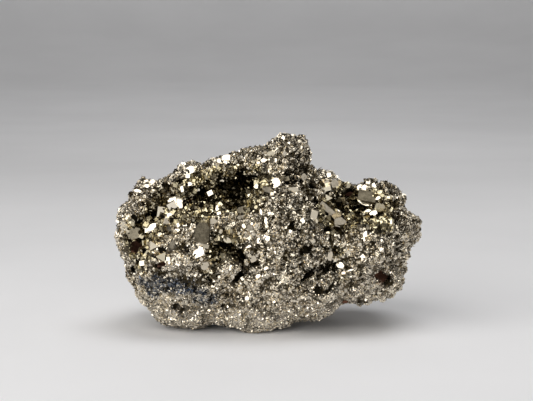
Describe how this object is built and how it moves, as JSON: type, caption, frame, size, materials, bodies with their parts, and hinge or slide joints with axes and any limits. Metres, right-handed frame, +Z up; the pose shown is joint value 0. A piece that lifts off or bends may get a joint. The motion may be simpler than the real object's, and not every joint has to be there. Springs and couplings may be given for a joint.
{
  "type": "raw pyrite specimen",
  "caption": "Lumpy natural mass of intergrown pyrite crystals, with crystal-lined hollows in its front, resting on small flat feet.",
  "frame": {"origin": "on the ground under the middle of the lump's box", "axes": "+X along the length, to the right seen from the front; -Y is the front, with the hollows; +Z up"},
  "size_m": [0.0878, 0.0566, 0.0555],
  "materials": {
    "pyrite": "metallic lustre, fine glittering crystals, silvery brass grey",
    "golden_pyrite": "metallic lustre, larger smooth crystal faces, golden olive"
  },
  "bodies": {
    "root": {"pyrite_mass": "pyrite", "left_hollow_crystals": "golden_pyrite", "right_hollow_crystals": "golden_pyrite"}
  },
  "joints": []
}
